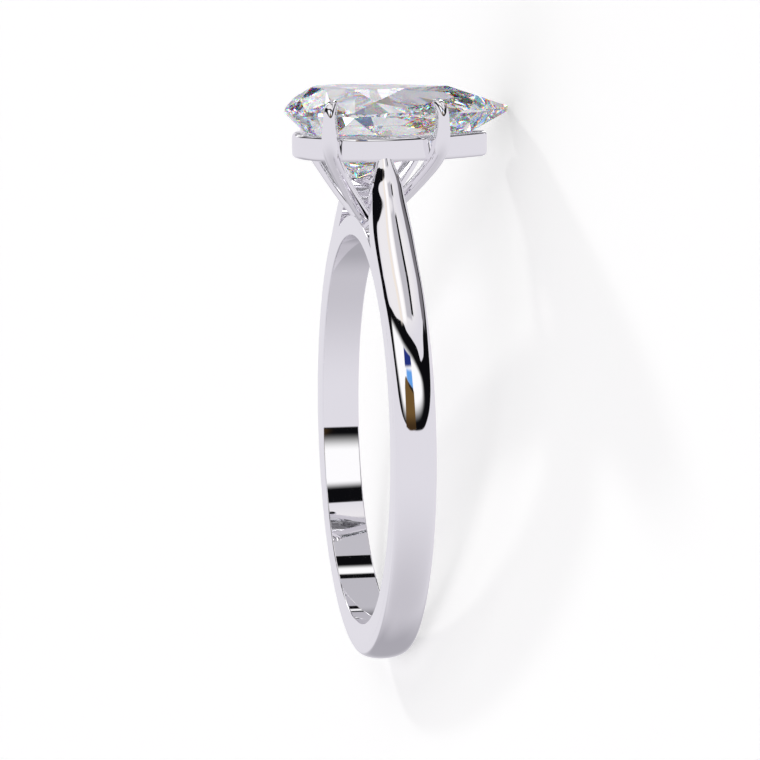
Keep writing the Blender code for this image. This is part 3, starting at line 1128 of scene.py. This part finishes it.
class Sky(Nodes):
    """The studio's panels, painted one over another in a world's node tree."""

    def __init__(self, turn: float, base: Colour) -> None:
        """Starts a world with one even light.

        Args:
            turn: how far the ring was turned about X when it was laid down, in radians.
            base: colour of the light.
        """
        self.world = bpy.data.worlds.new("studio")
        self.world.use_nodes = True
        super().__init__(self.world.node_tree)
        place = self.node("ShaderNodeTexCoord").outputs["Generated"]
        upright = self.node("ShaderNodeVectorRotate", rotation_type="X_AXIS", Vector=place, Angle=-turn)
        x, y, z = self.node("ShaderNodeSeparateXYZ", Vector=upright.outputs["Vector"]).outputs
        azimuth = self.math("MULTIPLY", self.math("ARCTAN2", y, x), math.degrees(1.0))
        elevation = self.math("MULTIPLY", self.math("ARCSINE", z), math.degrees(1.0))
        along_y, along_x = (self.math("MULTIPLY", out, HUNDREDTHS) for out in (y, x))
        above = self.math("GREATER_THAN", z, 0.0)
        self.places: dict[Layout, tuple[Socket, Socket, Value]] = {
            Layout.AROUND: (azimuth, elevation, 1.0),
            Layout.OVERHEAD: (along_y, along_x, above),
        }
        self.colour: Value = (*base, 1.0)

    def math(self, operation: str, *values: Socket | float) -> Socket:
        """Adds a math node and gives its output."""
        return self.combine("ShaderNodeMath", *values, operation=operation)

    def edge_height(self, across: Socket, edge: Edge) -> Socket:
        """Adds a curve that gives an edge's second place at each first place.

        Args:
            across: the first place.
            edge: the edge.

        Returns:
            The second place.
        """
        around = self.math("DIVIDE", self.math("ADD", across, HALF_TURN), FULL_TURN)
        made = self.node("ShaderNodeFloatCurve", Value=around)
        curve = made.mapping.curves[0]
        spots = [((u + HALF_TURN) / FULL_TURN, (v + QUARTER_TURN) / HALF_TURN) for u, v in edge]
        curve.points[0].location = spots[0]
        curve.points[1].location = spots[-1]
        for spot in spots[1:-1]:
            curve.points.new(*spot)
        for point in curve.points:
            point.handle_type = "AUTO_CLAMPED"
        made.mapping.update()
        height = self.math("MULTIPLY", made.outputs["Value"], HALF_TURN)
        return self.math("SUBTRACT", height, QUARTER_TURN)

    def inside(self, distance: Socket, softness: float) -> Socket:
        """Adds a smooth step that turns a distance inside an edge into a share.

        Args:
            distance: how far inside the edge, in the layout's own units.
            softness: width over which the edge fades.

        Returns:
            The share, from 0 outside to 1 inside.
        """
        made = self.node(
            "ShaderNodeMapRange",
            interpolation_type="SMOOTHSTEP",
            Value=distance,
            From_Min=-softness / 2,
            From_Max=softness / 2,
        )
        return made.outputs["Result"]

    def hang(self, panel: Panel) -> None:
        """Paints a panel over what is there.

        Args:
            panel: the panel.
        """
        left, right = panel.lower[0][0], panel.lower[-1][0]
        across, along, share = self.places[panel.layout]
        sides = (
            (self.math("SUBTRACT", across, left), panel.fade.left),
            (self.math("SUBTRACT", right, across), panel.fade.right),
            (self.math("SUBTRACT", along, self.edge_height(across, panel.lower)), panel.fade.lower),
            (self.math("SUBTRACT", self.edge_height(across, panel.upper), along), panel.fade.upper),
        )
        for distance, fade in sides:
            share = self.math("MULTIPLY", share, self.inside(distance, fade))
        self.colour = self.mix(share, self.colour, (*panel.light, 1.0))
        self.colour.node.label = panel.name

    def finish(self, stone: StoneLight, backdrop: Colour) -> bpy.types.World:
        """Joins the painted light to the world, and sets what the stone and the camera see of it.

        Args:
            stone: how the light that comes through the stone is drawn from the panels.
            backdrop: even colour that the camera sees behind the ring, in place of the panels.

        Returns:
            The world.
        """
        path = self.node("ShaderNodeLightPath")
        grey = self.node("ShaderNodeRGBToBW", Color=self.colour).outputs["Val"]
        raised = self.math("MULTIPLY", self.math("POWER", grey, stone.contrast), stone.gain)
        capped = self.math("MINIMUM", raised, stone.peak)
        through = self.mix(path.outputs["Is Transmission Ray"], self.colour, capped)
        shown = self.mix(path.outputs["Is Camera Ray"], through, (*backdrop, 1.0))
        light = self.node("ShaderNodeBackground", Color=shown)
        self.node("ShaderNodeOutputWorld", Surface=light.outputs["Background"])
        return self.world


BLACK = (0.004, 0.004, 0.005)
DIM = (0.42, 0.41, 0.45)
SOFT_WHITE = (1.06, 1.06, 1.06)
LAMP = (2.6, 2.6, 2.6)

COLUMN = Fade(3.0, 3.0, 6.0, 6.0)
LEFT_WASH = Fade(50.0, 0.5, 30.0, 24.0)
RIGHT_WASH = Fade(0.5, 50.0, 30.0, 24.0)

# The panels are hung in this order, each over those before it
WALL_PANELS = (
    Panel.level("ceiling", (-180.0, 180.0), (58.0, 95.0), (0.90, 0.88, 0.89), Fade(lower=16.0)),
    Panel.level("floor_shade", (-180.0, 180.0), (-90.0, -48.0), (0.59, 0.575, 0.62), Fade(upper=70.0)),
    Panel(
        "dark_surround",
        (
            (-134.0, 8.0), (-120.0, 18.0), (-100.0, 28.0), (-80.0, 31.0), (-60.0, 28.0), (-40.0, 20.0),
            (-20.0, 13.0), (0.0, 9.0), (20.0, 8.0), (40.0, 12.0), (60.0, 18.0), (90.0, 29.0),
            (124.0, 24.0),
        ),
        (
            (-134.0, 30.0), (-120.0, 42.0), (-105.0, 52.0), (-85.0, 53.0), (-75.0, 55.5), (-65.0, 59.0),
            (-55.0, 61.0), (-48.0, 61.8), (-38.0, 62.4), (-29.0, 62.8), (-20.0, 63.2), (-10.0, 63.2),
            (-3.0, 62.6), (2.0, 61.2), (6.7, 58.1), (20.0, 52.3), (31.0, 45.5), (36.5, 38.0),
            (43.0, 38.0), (60.0, 44.0), (90.0, 45.0), (124.0, 34.0),
        ),
        BLACK,
    ),
    Panel(
        "softbox",
        (
            (-66.0, 48.0), (-58.0, 43.5), (-50.0, 38.5), (-40.0, 33.0), (-32.0, 27.5), (-25.0, 22.5),
            (-18.0, 18.0), (-8.0, 16.5), (10.0, 17.0), (20.0, 18.0), (30.5, 22.0),
        ),
        (
            (-66.0, 50.5), (-58.0, 52.5), (-48.0, 54.0), (-38.0, 54.5), (-25.0, 54.0), (-8.6, 50.5),
            (12.0, 43.6), (21.5, 38.0), (30.5, 31.5),
        ),
        SOFT_WHITE,
        Fade(left=14.0, right=11.0, lower=11.0, upper=6.0),
    ),
    Panel(
        "warm_board",
        ((-13.0, 12.0), (-9.0, 9.5), (0.0, 8.5), (9.0, 9.0)),
        ((-13.0, 29.0), (-9.0, 34.5), (-3.0, 32.5), (9.0, 27.0)),
        (0.165, 0.095, 0.032),
        Fade(left=1.5),
    ),
    Panel(
        "warm_board_foot",
        ((-13.0, 10.0), (-9.0, 9.5), (0.0, 8.5), (9.0, 9.0)),
        ((-13.0, 14.0), (-9.0, 14.0), (0.0, 14.0), (9.0, 14.0)),
        (0.055, 0.030, 0.012),
        Fade(upper=8.0),
    ),
    Panel(
        "light_blue_board",
        ((-6.0, 33.5), (7.8, 28.0)),
        ((-6.0, 38.5), (7.8, 37.5)),
        (0.14, 0.38, 0.85),
        Fade(left=4.0, lower=1.5, upper=3.0),
    ),
    Panel(
        "deep_blue_board",
        ((-9.5, 39.5), (8.6, 39.5)),
        ((-9.5, 49.5), (8.6, 44.5)),
        (0.018, 0.034, 0.21),
        Fade(lower=2.5, upper=1.5),
    ),
    Panel(
        "board_gap",
        ((-3.0, 30.5), (8.0, 26.0)),
        ((-3.0, 32.0), (8.0, 28.5)),
        (0.010, 0.009, 0.012),
        Fade(left=3.0, lower=2.0, upper=1.5),
    ),
    Panel(
        "grey_wing",
        ((74.0, 40.0), (116.0, 33.0)),
        ((74.0, 47.0), (90.0, 51.0), (116.0, 49.0)),
        (0.20, 0.19, 0.21),
        Fade(3.0, 3.0, 6.0, 3.0),
    ),
    Panel.level("back_flag_1", (134.0, 148.0), (6.0, 64.0), BLACK, COLUMN),
    Panel.level("back_flag_2", (159.0, 175.0), (6.0, 70.0), BLACK, COLUMN),
    Panel.level("back_flag_3", (-173.0, -160.0), (14.0, 66.0), BLACK, COLUMN),
    Panel.level("back_flag_4", (-150.0, -137.0), (14.0, 56.0), BLACK, COLUMN),
    Panel.level("back_lamp_1", (149.0, 158.0), (10.0, 58.0), LAMP, COLUMN),
    Panel.level("back_lamp_2", (-159.0, -151.0), (16.0, 54.0), LAMP, COLUMN),
    Panel.level("back_foot_1", (134.0, 180.5), (-70.0, -24.0), DIM, LEFT_WASH),
    Panel.level("back_foot_2", (-180.5, -137.0), (-70.0, -24.0), DIM, RIGHT_WASH),
)

CEILING_STRIPS = (
    ("cream_strip", (-8.0, -1.0), (-4.0, 46.0), (0.93, 0.85, 0.76), Fade(4.0, 4.0, 3.0, 8.0)),
    ("white_strip", (1.0, 11.0), (-4.0, 46.0), (1.10, 1.08, 1.07), Fade(4.0, 6.0, 3.0, 8.0)),
    ("grey_strip", (14.5, 29.5), (-5.0, 41.0), (0.55, 0.54, 0.58), Fade(4.0, 3.0, 1.0, 4.0)),
    ("slim_flag", (29.0, 34.6), (-6.0, 36.0), BLACK, Fade(0.8, 0.8, 6.0, 3.0)),
    ("back_softbox", (-10.0, 26.0), (-35.0, -5.0), SOFT_WHITE, Fade()),
    ("back_flag", (-10.0, 26.0), (-20.8, -5.0), BLACK, Fade(lower=7.0)),
    ("back_wall", (-10.0, 26.0), (-90.0, -36.5), (0.53, 0.52, 0.56), Fade(lower=20.0)),
    ("back_line", (-10.0, 26.0), (-37.5, -30.8), BLACK, Fade(upper=3.0)),
)

PANELS = WALL_PANELS + tuple(Panel.level(*strip, Layout.OVERHEAD) for strip in CEILING_STRIPS)


@dataclass
class Studio:
    """Floor, camera, sun and the panels round the ring."""

    rest: Matrix
    floor_size: float = 4.0
    floor_squares: int = 8
    aim: Vector = field(default_factory=lambda: Vector((0.0, 0.0002842, 0.0020880)))
    azimuth: float = math.radians(10.4744)
    elevation: float = math.radians(8.9028)
    distance: float = 0.1393047
    lens: float = 155.4265
    sensor: float = 36.0
    nearest: float = 0.01
    farthest: float = 10.0
    backdrop: Colour = (1.0, 1.0, 1.0)
    base: Colour = (0.785, 0.770, 0.820)
    panels: tuple[Panel, ...] = PANELS
    stone_light: StoneLight = StoneLight()
    stone_bounces: int = 24
    sun_heading: Vector = field(default_factory=lambda: Vector((3.8, -0.9, -1.0)))
    sun_energy: float = 1.0
    sun_angle: float = math.radians(3.0)

    def make_floor(self) -> None:
        """Lays the floor, which takes the ring's shadow but isn't mirrored in the ring."""
        solid = bmesh.new()
        squares = self.floor_squares
        bmesh.ops.create_grid(solid, x_segments=squares, y_segments=squares, size=self.floor_size / 2)
        mesh = bpy.data.meshes.new("floor")
        solid.to_mesh(mesh)
        solid.free()
        mesh.materials.append(PaleFloor().material())
        floor = add_object("floor", mesh)
        floor.visible_glossy = False
        floor.visible_transmission = False

    def make_camera(self) -> None:
        """Places the camera at the photograph's angle to the ring."""
        level = math.cos(self.elevation)
        back = Vector(
            (level * math.cos(self.azimuth), -level * math.sin(self.azimuth), math.sin(self.elevation))
        )
        right = UP.cross(back).normalized()
        turn = Matrix((right, back.cross(right), back)).transposed().to_4x4()
        camera = add_object("camera", bpy.data.cameras.new("camera"))
        camera.matrix_world = self.rest @ Matrix.Translation(self.aim + self.distance * back) @ turn
        camera.data.sensor_width = self.sensor
        camera.data.lens = self.lens
        camera.data.clip_start = self.nearest
        camera.data.clip_end = self.farthest
        bpy.context.scene.camera = camera

    def make_sun(self) -> None:
        """Sets a low sun that shows on the floor alone, where it throws the ring's soft-edged shadow."""
        data = bpy.data.lights.new("floor_light", "SUN")
        data.energy = self.sun_energy
        data.angle = self.sun_angle
        lamp = add_object("floor_light", data)
        lamp.rotation_euler = self.sun_heading.to_track_quat("-Z", "Y").to_euler()
        lamp.visible_glossy = False
        lamp.visible_transmission = False

    def make_sky(self) -> None:
        """Hangs the panels round the upright ring."""
        sky = Sky(self.rest.to_euler().x, self.base)
        for panel in self.panels:
            sky.hang(panel)
        bpy.context.scene.world = sky.finish(self.stone_light, self.backdrop)

    def let_light_through(self) -> None:
        """Lets light bounce often enough to find its way out of the cut stone."""
        cycles = bpy.context.scene.cycles
        cycles.max_bounces = self.stone_bounces
        cycles.transmission_bounces = self.stone_bounces
        cycles.glossy_bounces = self.stone_bounces

    def build(self) -> None:
        """Sets up the floor, the camera, the sun and the panels."""
        self.let_light_through()
        self.make_floor()
        self.make_camera()
        self.make_sun()
        self.make_sky()
        bpy.context.scene.view_settings.view_transform = "Standard"


def main() -> None:
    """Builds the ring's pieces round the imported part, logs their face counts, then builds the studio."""
    logging.basicConfig(level=logging.INFO, format="%(name)s: %(message)s")
    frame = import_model()
    rest = Resting().matrix(frame["record"])
    finishes = {Slot.METAL: PolishedGold().material(), Slot.STONE: ClearStone().material()}
    bench = Workbench(rest, frame["nodes"], finishes)
    outline = PearOutline()
    shank = Shank()
    rail = GalleryRail(outline)
    prongs = ClawProngs(outline, rail, shank)
    metal = shank.build(bench) + rail.build(bench) + prongs.build(bench)
    bench.even_shading(metal)
    stone = PearStone().dress(bench)
    for piece in (*metal, stone):
        log.info("%s: %d faces", piece.name, len(piece.data.polygons))
    Studio(rest).build()


if __name__ == "__main__":
    main()
